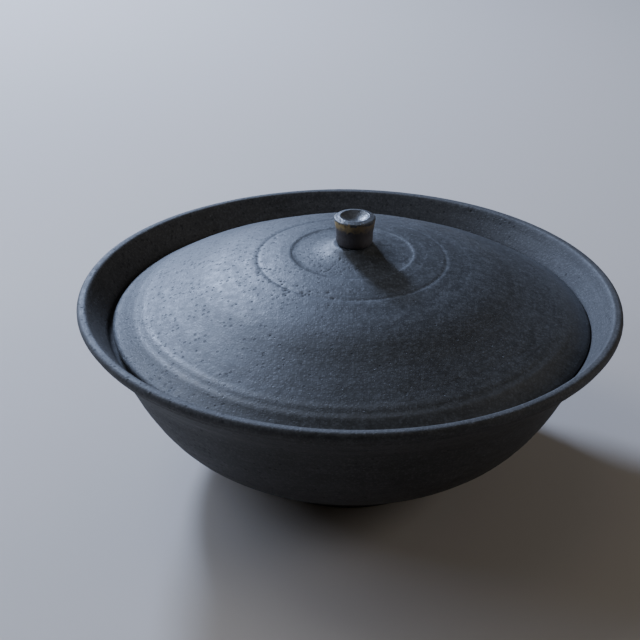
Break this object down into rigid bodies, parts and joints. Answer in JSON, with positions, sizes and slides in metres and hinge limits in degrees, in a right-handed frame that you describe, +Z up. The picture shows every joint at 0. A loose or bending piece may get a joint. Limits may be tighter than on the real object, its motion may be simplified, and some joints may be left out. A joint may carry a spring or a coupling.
{
  "type": "go stone bowl",
  "caption": "Wide flared bowl on a foot ring with a domed drop-in lid that rests on a seat inside the rim and is lifted by a small tapered knob.",
  "frame": {"origin": "centre of the foot ring's underside, on the surface that the bowl stands on", "axes": "+Z up along the axis of the bowl, towards the knob; X and Y are level, and the lid and knob sit 1.0 mm and 1.8 mm off the bowl's axis along +X"},
  "size_m": [0.24, 0.24, 0.119],
  "materials": {
    "bowl_stoneware": "matte, unglazed charcoal stoneware with throwing lines",
    "lid_stoneware": "matte to faint sheen, gritty charcoal stoneware with fine pits",
    "knob_stoneware": "matte charcoal stoneware with a brown band under its lip"
  },
  "bodies": {
    "bowl_body": {"bowl": "bowl_stoneware"},
    "lid_body": {"lid": "lid_stoneware", "knob": "knob_stoneware"}
  },
  "joints": [
    {"name": "lid_lift", "type": "slide", "parent": "bowl_body", "child": "lid_body", "axis": [0, 0, 1], "range_m": [0, 0.1]}
  ]
}
